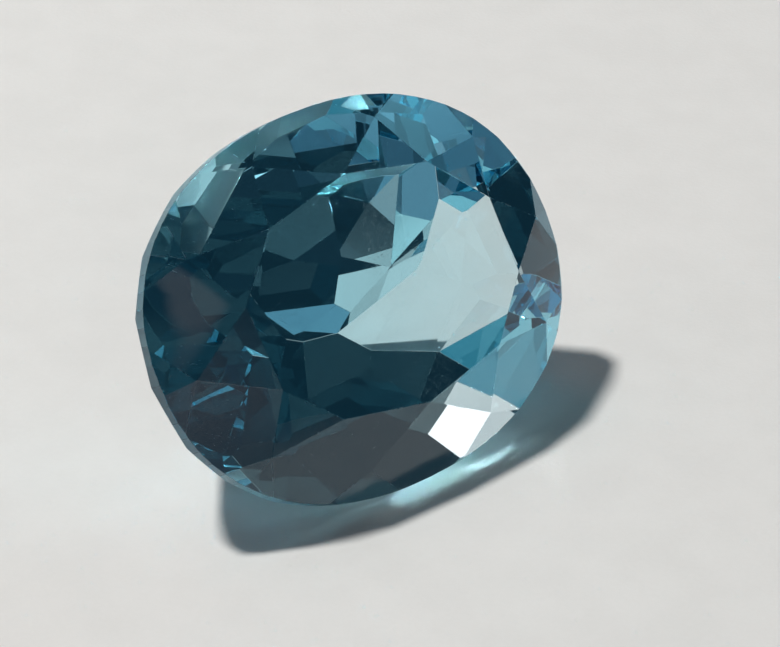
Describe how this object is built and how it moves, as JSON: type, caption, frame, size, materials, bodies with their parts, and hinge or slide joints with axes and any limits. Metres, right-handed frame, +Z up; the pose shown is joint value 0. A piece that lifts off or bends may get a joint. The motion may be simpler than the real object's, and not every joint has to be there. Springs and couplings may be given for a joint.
{
  "type": "cut topaz gemstone",
  "caption": "Oval brilliant-cut blue topaz with a flat table, a thin girdle and a deep pointed pavilion, lying on a pavilion facet.",
  "frame": {"origin": "on the surface that the stone lies on, under the middle of its extent", "axes": "+Z up, the stone lying on a pavilion facet; +Y away from a viewer who looks at the table, +X to that viewer's right"},
  "size_m": [0.0116, 0.011, 0.0088],
  "materials": {
    "topaz": "polished, clear blue, with light wear on the facet edges and a matt girdle"
  },
  "bodies": {
    "root": {"topaz": "topaz"}
  },
  "joints": []
}
